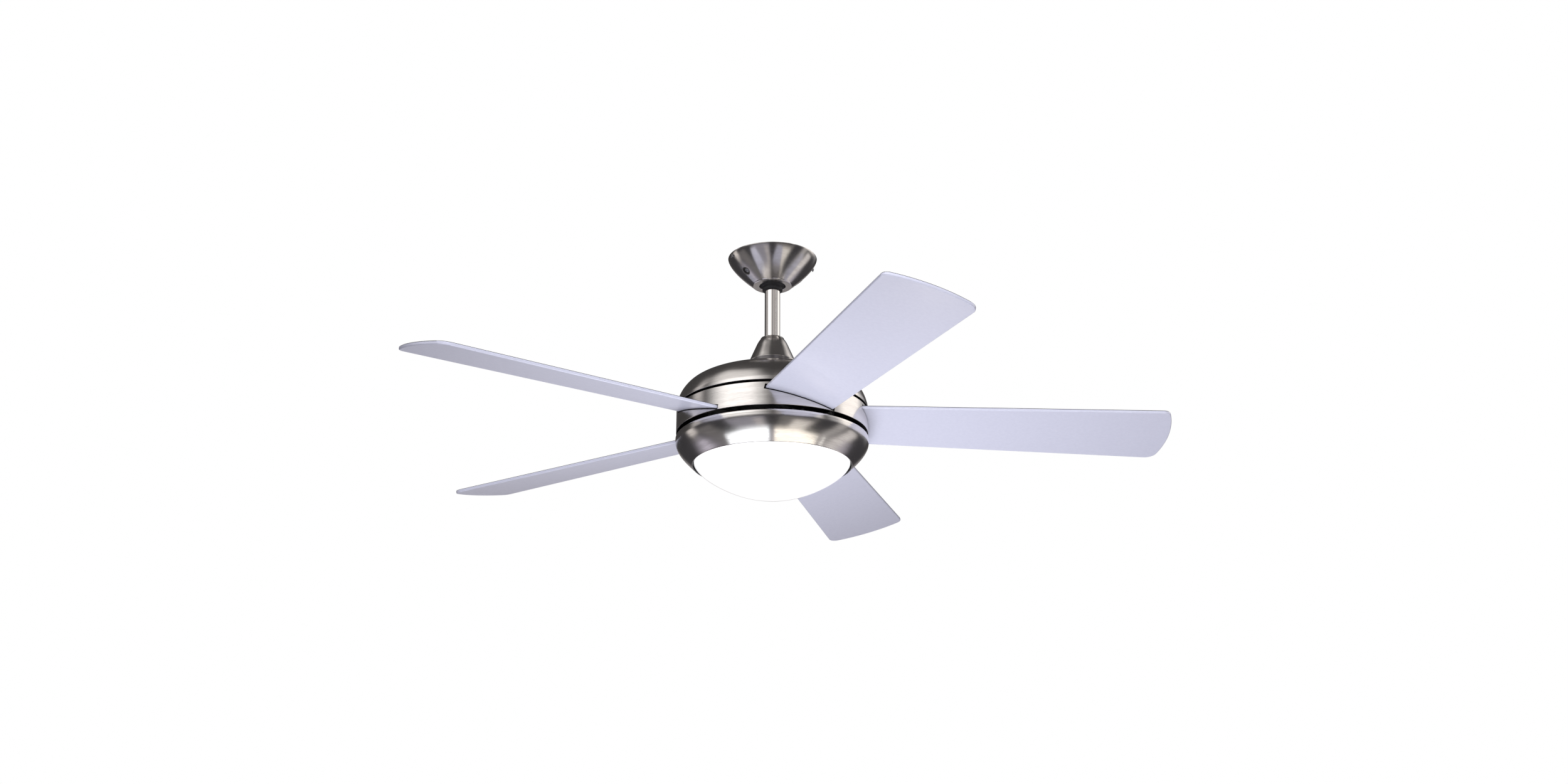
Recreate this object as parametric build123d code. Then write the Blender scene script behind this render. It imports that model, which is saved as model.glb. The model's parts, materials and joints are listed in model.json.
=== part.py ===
"""Five-blade ceiling fan with a dome light, modelled as it comes apart on a bench.

Units are millimetres.  +Z is up.  The origin is the centre of the hanger plate's
upper face, where the fan meets the ceiling, so the whole fan lies below z = 0.
"""
from math import cos, hypot, radians, sin, sqrt
import os

from build123d import *

# ---------------------------------------------------------------- driving sizes
SWEEP_RADIUS = 660.0          # blade tip circle, a 132 cm fan
BLADE_COUNT = 5
FIRST_BLADE = 2.14            # azimuth of the first blade, degrees
BLADE_PLANE = -295.6          # height of the blades where they cross the axis
BLADE_PITCH = 12.7            # degrees, the edge further round is the lower one
BLADE_DROOP = 1.12            # degrees, tips lower than roots
BLADE_THICK = 5.5
BLADE_ROOT = 100.0            # radius of the blade's hidden inner end
BLADE_OFFSET = -7.5           # chord centre, measured along the chord
CHORD_AT_BAND = 114.5
CHORD_AT_TIP = 146.5

CANOPY_RADIUS = 75.5
CANOPY_DEPTH = 48.5
CANOPY_HOLE = 22.0
BALL_RADIUS = 27.0
BALL_Z = -31.5
ROD_RADIUS = 13.0
ROD_BORE = 10.8
ROD_TOP = -14.0
ROD_BOTTOM = -205.0

COVER_TOP = -143.9
COVER_STEP = -186.7
COVER_FOOT = 36.6             # radius at the cover's lower edge, drawn in under the step
DOME_TOP = -206.6
BAND_RADIUS = 158.5
UPPER_GAP = -274.3            # middle of the gap between dome and band
UPPER_GAP_WIDTH = 3.6
LOWER_GAP = -318.3            # middle of the gap between band and light ring
LOWER_GAP_WIDTH = 7.0
GLASS_OPENING = 130.3
GLASS_RIM = -366.6
GLASS_DEPTH = 55.0
SHEET = 1.2                   # spun and pressed sheet parts

SHAFT_RADIUS = 7.5
SHAFT_BORE = 4.5
SHAFT_BOTTOM = -333.0
CASE_RADIUS = 84.0
CASE_TOP = -236.0
CASE_BOTTOM = -286.0
CASE_WALL = 2.0
CASE_BOLT_CIRCLE = 79.5
CORE_MIDDLE = -261.0
CORE_HEIGHT = 18.0
STATOR_RADIUS = 61.0
AIR_GAP = 0.5
ROTOR_CORE_OUTER = 75.0
BEARING_OUTER = 17.5          # 15 x 35 x 11 deep groove ball bearing
BEARING_WIDTH = 11.0
BEARING_PITCH = 12.5
BALL_SIZE = 2.975
BEARING_LEVELS = {"upper": -244.5, "lower": -277.5}   # middle of each bearing
RUNNING = 0.03                # radial clearance of a running fit
CLEAR = 0.3                   # clearance between curved faces of different bodies

CANOPY_SCREW_ANGLES = (210.9, 30.9)
CANOPY_SCREW_Z = -32.0
RIM_SCREW_ANGLES = (203.3, 23.3)
RIM_SCREW_Z = -6.0

BAND_TOP = UPPER_GAP - UPPER_GAP_WIDTH / 2
BAND_BOTTOM = LOWER_GAP + LOWER_GAP_WIDTH / 2
SLOT_GAP = 1.5                # gap between a blade and its slot, below and at the ends
FLANGE_OUTER = 100.0          # motor case flange that carries the band
FLANGE_SCREW = 93.5
WEB_TOP = LOWER_GAP - LOWER_GAP_WIDTH / 2
PAN_TOP = WEB_TOP - SHEET
PAN_RADIUS = 116.0
TAB_BOTTOM = -350.0
TAB_OUTER = 122.5
TAB_ANGLE = 24.0
GLASS_RADIUS = 128.4
GLASS_WALL = 3.0
GLASS_TOP = -357.0

os.makedirs("parts", exist_ok=True)


# ---------------------------------------------------------------- helpers
def save(name, shape):
    """Write one node; several separate solids become one compound."""
    solids = shape if isinstance(shape, list) else [shape]
    flat = [s for item in solids for s in item.solids()]
    export_step(flat[0] if len(flat) == 1 else Compound(children=flat), f"parts/{name}.step")


def lathe(*edges):
    """Turn a closed (radius, height) outline about the fan's axis."""
    return revolve(Plane.XZ * make_face(list(edges)), Axis.Z)


def ring(inner, outer, low, high):
    """A plain ring, or a disc when inner is 0."""
    body = Pos(0, 0, (low + high) / 2) * Cylinder(outer, high - low)
    if inner > 0:
        body -= Pos(0, 0, (low + high) / 2) * Cylinder(inner, high - low + 2)
    return body


def inset(points, wall):
    """Move an outline's points sideways by the wall thickness, towards the inside."""
    moved = []
    for i, (r, z) in enumerate(points):
        before = points[max(i - 1, 0)]
        after = points[min(i + 1, len(points) - 1)]
        dr, dz = after[0] - before[0], after[1] - before[1]
        length = hypot(dr, dz)
        moved.append((r + wall * dz / length, z - wall * dr / length))
    return moved


def turn(angle):
    return Rot(0, 0, angle)


def around(count, shape, start=0.0):
    """Separate copies of a shape, evenly spaced round the axis."""
    return [turn(start + 360.0 / count * i) * shape for i in range(count)]


def rod_along(direction, centre, radius, length):
    """A round bar whose middle is at centre."""
    plane = Plane(origin=centre, z_dir=direction)
    return plane * Cylinder(radius, length)


def pan_screw(shank_radius, shank_length, head_radius, head_height):
    """Cross-head screw pointing down from z = 0, its head above z = 0."""
    head = Pos(0, 0, head_height / 2) * Cylinder(head_radius, head_height)
    head = fillet(head.edges().group_by(Axis.Z)[-1], head_height * 0.45)
    slot = Box(head_radius * 1.1, head_height * 0.35, head_height)
    cross = slot + Rot(0, 0, 90) * slot
    shank = Pos(0, 0, -shank_length / 2) * Cylinder(shank_radius, shank_length)
    return head - Pos(0, 0, head_height) * cross + shank


def blade_place(azimuth):
    """Frame of one blade: X out along it, Y towards the edge further round."""
    lift = Pos(0, 0, BLADE_PLANE) * Rot(0, BLADE_DROOP, 0) * Rot(-BLADE_PITCH, 0, 0)
    return turn(azimuth) * lift


BLADE_AZIMUTHS = [FIRST_BLADE + 360.0 / BLADE_COUNT * i for i in range(BLADE_COUNT)]


# ---------------------------------------------------------------- ceiling side
PLATE_HALF = 58.0
PLATE_WIDTH = 40.0
PLATE_THICK = 3.0
SLOT_CENTRE = 40.0
SLOT_LENGTH = 16.0
SLOT_RADIUS = 3.0
SEAT_INNER = BALL_RADIUS + 2 * CLEAR + 1.2
SEAT_OUTER = 33.0
SEAT_TOP = -33.5
SEAT_BOTTOM = -44.2
CANOPY_FOOT = 35.0


def canopy_radius(depth):
    """Outside radius of the bowl at a depth below the ceiling."""
    share = max(depth, 0.0) / (CANOPY_DEPTH - 1.5)
    return CANOPY_RADIUS - (CANOPY_RADIUS - CANOPY_FOOT) * share ** 1.4


CANOPY_POINTS = [(canopy_radius(d), -d) for d in (0.0, 8.0, 18.0, 28.0, 38.0, CANOPY_DEPTH - 1.5)]


def canopy_normal(depth):
    """Outward normal of the canopy in (radius, height)."""
    slope = (canopy_radius(depth + 0.5) - canopy_radius(depth - 0.5)) / 1.0
    length = hypot(1.0, slope)
    return 1.0 / length, slope / length


def canopy_axis(angle, height):
    """Point on the canopy's outside and the outward direction there."""
    a = radians(angle)
    r = canopy_radius(-height)
    nr, nz = canopy_normal(-height)
    return Vector(r * cos(a), r * sin(a), height), Vector(nr * cos(a), nr * sin(a), nz)


def hanger_bracket():
    plate = Pos(0, 0, -PLATE_THICK / 2) * Box(2 * PLATE_HALF, PLATE_WIDTH, PLATE_THICK)
    plate = fillet(plate.edges().filter_by(Axis.Z), 8)
    for side in (-1, 1):
        slot = extrude(SlotOverall(SLOT_LENGTH, 2 * SLOT_RADIUS), 20, both=True)
        plate -= Pos(side * SLOT_CENTRE, 0, 0) * slot
    plate -= Pos(0, -11, 0) * Cylinder(5, 20)
    plate -= Pos(0, 13.5, 0) * Cylinder(1.7, 20)
    seat = ring(0, SEAT_OUTER, SEAT_BOTTOM, SEAT_TOP) - Pos(0, 0, BALL_Z) * Sphere(SEAT_INNER)
    seat -= Pos(0, 30, (SEAT_TOP + SEAT_BOTTOM) / 2) * Box(28.5, 40, 30)
    body = plate + seat
    for side in (-1, 1):
        outline = make_face(
            Polyline(
                (side * 55.0, -1.0),
                (side * 55.0, -13.0),
                (side * 33.5, -36.0),
                (side * 33.5, -44.2),
                (side * 29.8, -44.2),
                (side * 29.8, -34.4),
                (side * 51.8, -11.8),
                (side * 51.8, -1.0),
                (side * 55.0, -1.0),
            )
        )
        body += extrude(Plane.XZ * outline, 11, both=True)
    for angle in CANOPY_SCREW_ANGLES:
        point, out = canopy_axis(angle, CANOPY_SCREW_Z)
        boss_end = point - out * (SHEET + 4.6)
        body += rod_along(out, boss_end - out * 8.0, 4.6, 16.0)
        body += turn(angle) * Pos(34.5, 0, -29.0) * Box(8.0, 7.0, 20.0)
        body -= rod_along(out, boss_end - out * 5.0, 2.0, 16.0)
    for angle in RIM_SCREW_ANGLES:
        body += turn(angle) * Pos(58.2, 0, -PLATE_THICK / 2) * Box(18.4, 10.0, PLATE_THICK)
        body += turn(angle) * Pos(66.2, 0, -5.25) * Box(2.4, 10.0, 8.5)
        body -= turn(angle) * Pos(67.0, 0, RIM_SCREW_Z) * Rot(0, 90, 0) * Cylinder(1.6, 12.0)
    return body - Pos(0, 0, BALL_Z) * Sphere(SEAT_INNER)


def canopy():
    lip_r, lip_z = CANOPY_FOOT, -CANOPY_DEPTH + 1.5
    inner = inset(CANOPY_POINTS, SHEET)
    body = lathe(
        Spline(*CANOPY_POINTS),
        ThreePointArc((lip_r, lip_z), (lip_r - 2.3, lip_z - 1.9), (lip_r - 5.0, lip_z - 2.2)),
        Line((lip_r - 5.0, lip_z - 2.2), (CANOPY_HOLE + 0.8, lip_z - 2.2)),
        ThreePointArc((CANOPY_HOLE + 0.8, lip_z - 2.2), (CANOPY_HOLE, lip_z - 1.4),
                      (CANOPY_HOLE + 0.8, lip_z - 0.8)),
        Line((CANOPY_HOLE + 0.8, lip_z - 0.8), inner[-1]),
        Spline(*inner[::-1]),
        Line(inner[0], CANOPY_POINTS[0]),
    )
    for angle in CANOPY_SCREW_ANGLES:
        point, out = canopy_axis(angle, CANOPY_SCREW_Z)
        floor = rod_along(out, point - out * 5.0, 6.6, 1.2)
        body -= rod_along(out, point, 6.6, 12.0)
        wall = rod_along(out, point - out * 2.9, 7.6, 5.4) - rod_along(out, point, 6.6, 30.0)
        trim = rod_along(out, point + out * 10.0, 12.0, 20.0)
        body += (wall - trim) + floor
        body -= rod_along(out, point - out * 5.0, 2.3, 6.0)
    for angle in RIM_SCREW_ANGLES:
        point, out = canopy_axis(angle, RIM_SCREW_Z)
        body -= turn(angle) * Pos(70.0, 0, RIM_SCREW_Z) * Rot(0, 90, 0) * Cylinder(2.2, 20.0)
    return body


def canopy_screws():
    screws = []
    for angle in CANOPY_SCREW_ANGLES:
        point, out = canopy_axis(angle, CANOPY_SCREW_Z)
        screw = pan_screw(2.0, 11.0, 4.0, 2.4)
        screws.append(Plane(origin=point - out * 4.4, z_dir=out) * screw)
    return screws


def rim_screws():
    screws = []
    for angle in RIM_SCREW_ANGLES:
        screw = pan_screw(1.6, 8.5, 3.0, 1.3)
        place = turn(angle) * Pos(canopy_radius(-RIM_SCREW_Z) + 1.7, 0, RIM_SCREW_Z) * Rot(0, 90, 0)
        screws.append(place * screw)
    return screws


def terminal_block():
    """Three-pole block under the hanger plate, beside the cable hole."""
    body = Pos(0, -33.0, -9.0) * Box(30.0, 12.0, 12.0)
    body = fillet(body.edges().filter_by(Axis.Z), 1.2)
    for i in (-1, 0, 1):
        body -= Pos(i * 9.0, -33.0, -9.5) * Rot(90, 0, 0) * Cylinder(1.9, 20.0)
        body -= Pos(i * 9.0, -33.0, -13.5) * Cylinder(1.9, 7.0)
    tab = Pos(0, -23.5, -4.25) * Box(30.0, 9.0, 2.5)
    return body + tab


def terminal_screws():
    screws = []
    for i in (-1, 0, 1):
        grub = Pos(i * 9.0, -33.0, -12.6) * Cylinder(1.85, 4.0)
        screws.append(grub - Pos(i * 9.0, -33.0, -14.6) * Box(4.0, 0.6, 1.2))
    return screws


def earth_screw():
    return Pos(0, 13.5, -PLATE_THICK) * Rot(180, 0, 0) * pan_screw(1.65, 2.8, 3.0, 2.0)


# ---------------------------------------------------------------- hanging side
def ball_liner():
    """Moulded liner between the ball and its seat, open where the rod swings in."""
    outer = BALL_RADIUS + CLEAR + 1.2
    band = ring(0, 40.0, -43.0, -33.0)
    body = band & (Pos(0, 0, BALL_Z) * Sphere(outer))
    body -= Pos(0, 0, BALL_Z) * Sphere(BALL_RADIUS + CLEAR)
    return body - Pos(0, 30, -38.0) * Box(29.5, 40, 30)


def hanger_ball():
    ball = Pos(0, 0, BALL_Z) * Sphere(BALL_RADIUS) & ring(0, 40.0, -52.2, -12.0)
    neck = ring(0, 17.0, -58.2, -49.0)
    neck = chamfer(neck.edges().group_by(Axis.Z)[0], 1.0)
    body = ball + neck - ring(0, ROD_RADIUS, -70.0, 0.0)
    body -= Pos(0, 0, BALL_Z) * Rot(90, 0, 0) * Cylinder(3.15, 60.0)
    return body - Pos(20.0, 0, -19.0) * Rot(0, 90, 0) * Cylinder(2.0, 20.0)


def ball_cross_pin():
    pin = Pos(0, 0, BALL_Z) * Rot(90, 0, 0) * Cylinder(3.15, 49.0)
    return chamfer(pin.edges(), 0.5)


def downrod():
    body = ring(ROD_BORE, ROD_RADIUS, ROD_BOTTOM, ROD_TOP)
    body -= Pos(0, 0, BALL_Z) * Rot(90, 0, 0) * Cylinder(3.15, 60.0)
    return body - Pos(0, 0, PIN_Z) * Rot(90, 0, 0) * Cylinder(3.0, 60.0)


def coupling_cover():
    points = [(19.6, COVER_TOP - 1.6), (24.4, -153.0), (29.8, -165.0), (35.0, -177.0), (39.0, COVER_STEP)]
    inner = inset(points, SHEET)
    return lathe(
        Spline(*points),
        Line(points[-1], (40.4, COVER_STEP)),
        Line((40.4, COVER_STEP), (COVER_FOOT, DOME_TOP + 0.4)),
        Line((COVER_FOOT, DOME_TOP + 0.4), (COVER_FOOT - SHEET, DOME_TOP + 0.4)),
        Line((COVER_FOOT - SHEET, DOME_TOP + 0.4), (39.1, COVER_STEP - SHEET)),
        Line((39.1, COVER_STEP - SHEET), inner[-1]),
        Spline(*inner[::-1]),
        Line(inner[0], (ROD_RADIUS + 0.4, COVER_TOP - SHEET)),
        Line((ROD_RADIUS + 0.4, COVER_TOP - SHEET), (ROD_RADIUS + 0.4, COVER_TOP)),
        Line((ROD_RADIUS + 0.4, COVER_TOP), (18.0, COVER_TOP)),
        ThreePointArc((18.0, COVER_TOP), (19.0, COVER_TOP - 0.5), points[0]),
    )


PIN_Z = -184.0
COLLAR_TOP = -170.0
COLLAR_RADIUS = 18.5
FLANGE_RADIUS = 35.0
FLANGE_TOP = DOME_TOP - SHEET
FLANGE_BOTTOM = FLANGE_TOP - 4.0
YOKE_BOTTOM = -226.0


def motor_yoke():
    """Cast collar that joins the downrod, the motor shaft and the motor dome."""
    body = ring(0, COLLAR_RADIUS, YOKE_BOTTOM, COLLAR_TOP) + ring(0, FLANGE_RADIUS, FLANGE_BOTTOM, FLANGE_TOP)
    body -= ring(0, ROD_RADIUS, ROD_BOTTOM, 0.0)
    body -= ring(0, SHAFT_RADIUS, YOKE_BOTTOM - 5, ROD_BOTTOM + 1)
    body -= Pos(0, 0, PIN_Z) * Rot(90, 0, 0) * Cylinder(3.0, 60.0)
    for side in (-1, 1):
        body -= Pos(side * 16.0, 0, -176.0) * Rot(0, 90, 0) * Cylinder(2.5, 10.0)
    for hole in around(3, Pos(27.0, 0, FLANGE_TOP) * Cylinder(2.0, 20.0), 60.0):
        body -= hole
    return body


def yoke_pin():
    shank = Pos(0, 0, PIN_Z) * Rot(90, 0, 0) * Cylinder(3.0, 48.0)
    head = Pos(0, -25.0, PIN_Z) * Rot(90, 0, 0) * Cylinder(4.6, 2.0)
    return shank + head - Pos(0, 21.5, PIN_Z) * Rot(0, 90, 0) * Cylinder(0.9, 10.0)


def yoke_cotter():
    """Hairpin clip through the end of the yoke pin."""
    leg = Pos(0, 21.5, PIN_Z) * Rot(0, 90, 0) * Cylinder(0.9, 15.0)
    loop = Pos(9.8, 21.5, PIN_Z) * Torus(2.6, 0.9)
    return leg + loop


def set_screws():
    """Grub screws that lock the downrod in the ball and in the yoke."""
    grub = Rot(0, 90, 0) * (Cylinder(2.0, 8.0) - Pos(0, 0, 4.0) * Box(4.5, 0.7, 2.0))
    wide = Rot(0, 90, 0) * (Cylinder(2.5, 7.0) - Pos(0, 0, 3.5) * Box(5.5, 0.8, 2.0))
    return [
        Pos(ROD_RADIUS + 4.0, 0, -19.0) * grub,
        Pos(ROD_RADIUS + 3.5, 0, -176.0) * wide,
        Pos(-ROD_RADIUS - 3.5, 0, -176.0) * Rot(0, 0, 180) * wide,
    ]


DOME_FLAT = 42.0
DOME_POINTS = [(DOME_FLAT, DOME_TOP), (55.0, -208.6), (85.0, -213.8), (117.0, -222.0), (139.0, -233.2),
               (152.0, -248.8), (158.0, -265.5), (158.6, UPPER_GAP + UPPER_GAP_WIDTH / 2)]


def upper_housing():
    """Spun dome over the motor, screwed to the yoke's flange."""
    inner = inset(DOME_POINTS, SHEET)
    body = lathe(
        Line((COLLAR_RADIUS, DOME_TOP), DOME_POINTS[0]),
        Spline(*DOME_POINTS),
        Line(DOME_POINTS[-1], inner[-1]),
        Spline(*inner[:0:-1], (DOME_FLAT, DOME_TOP - SHEET)),
        Line((DOME_FLAT, DOME_TOP - SHEET), (COLLAR_RADIUS, DOME_TOP - SHEET)),
        Line((COLLAR_RADIUS, DOME_TOP - SHEET), (COLLAR_RADIUS, DOME_TOP)),
    )
    for hole in around(3, Pos(27.0, 0, DOME_TOP) * Cylinder(2.3, 20.0), 60.0):
        body -= hole
    slot = Pos(SWITCH_X, SWITCH_Y, -214.0) * Box(5.0, 15.0, 20.0)
    return body - turn(SWITCH_ANGLE) * slot


def housing_screws():
    return around(3, Pos(27.0, 0, DOME_TOP) * pan_screw(2.0, 5.0, 3.8, 2.2), 60.0)


# Forward / reverse slide switch under the dome's top, on the side away from the room.
SWITCH_ANGLE = 90.0
SWITCH_X = 62.0
SWITCH_Y = 0.0
SWITCH_TRAVEL = 5.0
SWITCH_FACE = -212.3


def reverse_switch():
    body = Pos(SWITCH_X, 0, SWITCH_FACE - 6.0) * Box(12.0, 24.0, 10.0)
    body -= Pos(SWITCH_X, 0, SWITCH_FACE - 2.0) * Box(4.6, 14.6, 6.0)
    legs = [Pos(SWITCH_X, i * 6.0, SWITCH_FACE - 13.0) * Box(3.0, 0.8, 4.5) for i in (-1, 0, 1)]
    for leg in legs:
        body += leg
    return turn(SWITCH_ANGLE) * body


def reverse_knob():
    stem = Pos(SWITCH_X, -SWITCH_TRAVEL / 2, SWITCH_FACE - 0.75) * Box(4.0, 7.0, 7.5)
    top = Pos(SWITCH_X, -SWITCH_TRAVEL / 2, SWITCH_FACE + 3.6) * Box(4.0, 7.0, 2.4)
    for i in (-1, 0, 1):
        top -= Pos(SWITCH_X, -SWITCH_TRAVEL / 2 + i * 1.6, SWITCH_FACE + 4.8) * Box(5.0, 0.6, 0.8)
    return turn(SWITCH_ANGLE) * (stem + top)


# ---------------------------------------------------------------- motor
def motor_shaft():
    return ring(SHAFT_BORE, SHAFT_RADIUS, SHAFT_BOTTOM, ROD_BOTTOM)


def stator_core():
    """Laminated stack with a hub, teeth and pole shoes."""
    low = CORE_MIDDLE - CORE_HEIGHT / 2
    high = CORE_MIDDLE + CORE_HEIGHT / 2
    body = ring(SHAFT_RADIUS, 30.0, low, high)
    tooth = Pos(42.0, 0, CORE_MIDDLE) * Box(30.0, 7.0, CORE_HEIGHT)
    shoe_zone = turn(-12.0) * Pos(50.0, 25.0, CORE_MIDDLE) * Box(40.0, 50.0, CORE_HEIGHT)
    shoe_zone &= turn(12.0) * Pos(50.0, -25.0, CORE_MIDDLE) * Box(40.0, 50.0, CORE_HEIGHT)
    shoe = ring(STATOR_RADIUS - 4.5, STATOR_RADIUS, low, high) & shoe_zone
    for tooth_at in around(12, tooth + shoe):
        body += tooth_at
    return body & ring(SHAFT_RADIUS, STATOR_RADIUS, low, high)


def stator_windings():
    """One wound coil round each tooth."""
    coil = Pos(42.5, 0, CORE_MIDDLE) * Box(22.0, 12.0, CORE_HEIGHT + 10.0)
    coil = fillet(coil.edges().filter_by(Axis.X), 3.0)
    coil -= Pos(42.5, 0, CORE_MIDDLE) * Box(24.0, 7.0, CORE_HEIGHT)
    wedge = turn(-14.2) * Pos(50.0, 25.0, CORE_MIDDLE) * Box(60.0, 50.0, 60.0)
    wedge &= turn(14.2) * Pos(50.0, -25.0, CORE_MIDDLE) * Box(60.0, 50.0, 60.0)
    return around(12, coil & wedge)


def rotor_core():
    inner = STATOR_RADIUS + AIR_GAP
    return ring(inner, ROTOR_CORE_OUTER, CORE_MIDDLE - 12.0, CORE_MIDDLE + 12.0)


def motor_case(name):
    """Cast end shell of the rotor: dish, bearing pocket and bolt holes."""
    sign = 1 if name == "upper" else -1
    face = CASE_TOP if name == "upper" else CASE_BOTTOM
    middle = BEARING_LEVELS[name]
    plate = face - sign * CASE_WALL
    pocket_in = middle - sign * BEARING_WIDTH / 2

    def span(inner, outer, a, b):
        return ring(inner, outer, min(a, b), max(a, b))

    body = span(SHAFT_RADIUS + 2.5, CASE_RADIUS, face, plate)
    body += span(ROTOR_CORE_OUTER, CASE_RADIUS, plate, CORE_MIDDLE)
    body += span(BEARING_OUTER, BEARING_OUTER + 3.0, plate, pocket_in)
    for hole in around(BLADE_COUNT, Pos(CASE_BOLT_CIRCLE, 0, CORE_MIDDLE) * Cylinder(2.1, 80.0), 36.0):
        body -= hole
    if name == "upper":
        vent = Pos(46.0, 0, face) * extrude(SlotOverall(24.0, 6.0), 6.0, both=True)
        for hole in around(10, vent):
            body -= hole
    else:
        body += ring(CASE_RADIUS - 1.0, FLANGE_OUTER, BAND_TOP - SHEET - 2.5, BAND_TOP - SHEET)
        for hole in around(BLADE_COUNT, Pos(FLANGE_SCREW, 0, BAND_TOP) * Cylinder(1.7, 20.0), 36.0):
            body -= hole
        for azimuth in BLADE_AZIMUTHS:
            for x, y in ARM_SCREW_SPOTS:
                body -= turn(azimuth) * Pos(x, y, face) * Cylinder(2.5, 10.0)
    return body


def case_screws():
    """Through bolts that clamp the two end shells together."""
    bolt = Pos(CASE_BOLT_CIRCLE, 0, CASE_TOP) * pan_screw(2.0, CASE_TOP - CASE_BOTTOM, 3.4, 2.2)
    return around(BLADE_COUNT, bolt, 36.0)


def bearing_race(name, outer):
    middle = BEARING_LEVELS[name]
    low, high = middle - BEARING_WIDTH / 2, middle + BEARING_WIDTH / 2
    groove = Pos(0, 0, middle) * Torus(BEARING_PITCH, BALL_SIZE + RUNNING)
    if outer:
        return ring(BEARING_PITCH + 1.6, BEARING_OUTER, low, high) - groove
    return ring(SHAFT_RADIUS, BEARING_PITCH - 1.6, low, high) - groove


def bearing_cage(name):
    """Balls held by their snap cage; they roll round together."""
    middle = BEARING_LEVELS[name]
    cage = ring(BEARING_PITCH - 0.9, BEARING_PITCH + 0.9, middle - 3.4, middle + 0.6)
    ball = Pos(BEARING_PITCH, 0, middle) * Sphere(BALL_SIZE)
    for ball_at in around(8, ball):
        cage += ball_at
    return cage


# ---------------------------------------------------------------- blades
ARM_THICK = 3.0
BLADE_SCREW_SPOTS = [(108.0, -24.0), (108.0, 14.0), (134.0, -6.0)]
ARM_SCREW_SPOTS = [(62.0, -9.0), (62.0, 9.0)]


def blade_chord(r):
    share = (r - 140.0) / (SWEEP_RADIUS - 140.0)
    return CHORD_AT_BAND + (CHORD_AT_TIP - CHORD_AT_BAND) * share


def blade_outline():
    """Flat outline: tongue inside the band, straight sides, gently bowed tip."""
    tongue, step, tip_bow = 50.0, 126.0, 9.5
    near = blade_chord(step) / 2
    far = blade_chord(SWEEP_RADIUS - tip_bow) / 2
    mid = BLADE_OFFSET
    end = sqrt(SWEEP_RADIUS ** 2 - far ** 2) - tip_bow
    return make_face(
        [
            Line((BLADE_ROOT, mid - tongue), (step - 14, mid - tongue)),
            Line((step - 14, mid - tongue), (step + 4, mid - near)),
            Line((step + 4, mid - near), (end, mid - far)),
            ThreePointArc((end, mid - far), (SWEEP_RADIUS - 1.0, mid), (end, mid + far)),
            Line((end, mid + far), (step + 4, mid + near)),
            Line((step + 4, mid + near), (step - 14, mid + tongue)),
            Line((step - 14, mid + tongue), (BLADE_ROOT, mid + tongue)),
            Line((BLADE_ROOT, mid + tongue), (BLADE_ROOT, mid - tongue)),
        ]
    )


def blade():
    board = Pos(0, 0, -BLADE_THICK / 2) * extrude(blade_outline(), BLADE_THICK)
    upright = board.edges().filter_by(Axis.Z).sort_by(Axis.X)
    tips = upright[-2:].sort_by(Axis.Y)
    board = fillet(tips[-1], 20.0)
    upright = board.edges().filter_by(Axis.Z).sort_by(Axis.Y)
    leading = [e for e in upright if e.center().X > 600.0][0]
    board = fillet(leading, 13.0)
    rims = board.edges().filter_by(lambda e: abs(abs(e.center().Z) - BLADE_THICK / 2) < 0.01)
    board = fillet(rims, 1.6)
    for x, y in BLADE_SCREW_SPOTS:
        board -= Pos(x, y, 0) * Cylinder(2.6, 20.0)
    return board


def blade_arm():
    """Stamped arm: flat pad under the motor, twisted tongue on top of the blade."""
    tilt = Rot(0, BLADE_DROOP, 0) * Rot(-BLADE_PITCH, 0, 0)
    lift = BLADE_THICK / 2 + ARM_THICK / 2
    drop = CASE_BOTTOM - ARM_THICK / 2 - BLADE_PLANE
    inner = Pos(68.0, 0, drop) * Box(34.0, 34.0, ARM_THICK)
    outer = tilt * Pos(121.0, BLADE_OFFSET, lift) * Box(42.0, 62.0, ARM_THICK)
    out_plane = Plane(tilt * Pos(100.5, BLADE_OFFSET, lift) * Rot(0, 90, 0) * Rot(0, 0, 90))
    neck = loft([
        Plane(origin=(84.5, 0, drop), x_dir=(0, 1, 0), z_dir=(1, 0, 0)) * Rectangle(34.0, ARM_THICK),
        out_plane * Rectangle(62.0, ARM_THICK),
    ])
    body = inner + neck + outer
    for x, y in BLADE_SCREW_SPOTS:
        body -= tilt * Pos(x, y, lift) * Cylinder(2.2, 30.0)
    for x, y in ARM_SCREW_SPOTS:
        body -= Pos(x, y, drop) * Cylinder(2.6, 12.0)
    return Pos(0, 0, BLADE_PLANE) * body


def arm_screws():
    screw = Rot(180, 0, 0) * pan_screw(2.5, ARM_THICK + CASE_WALL - 0.4, 4.4, 2.4)
    pair = [Pos(x, y, CASE_BOTTOM - ARM_THICK) * screw for x, y in ARM_SCREW_SPOTS]
    return [turn(a) * s for a in BLADE_AZIMUTHS for s in pair]


def blade_screws():
    screw = Rot(180, 0, 0) * pan_screw(2.2, BLADE_THICK + ARM_THICK + 0.8, 4.6, 2.0)
    trio = [Pos(x, y, -BLADE_THICK / 2) * screw for x, y in BLADE_SCREW_SPOTS]
    return [blade_place(a) * s for a in BLADE_AZIMUTHS for s in trio]


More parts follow.
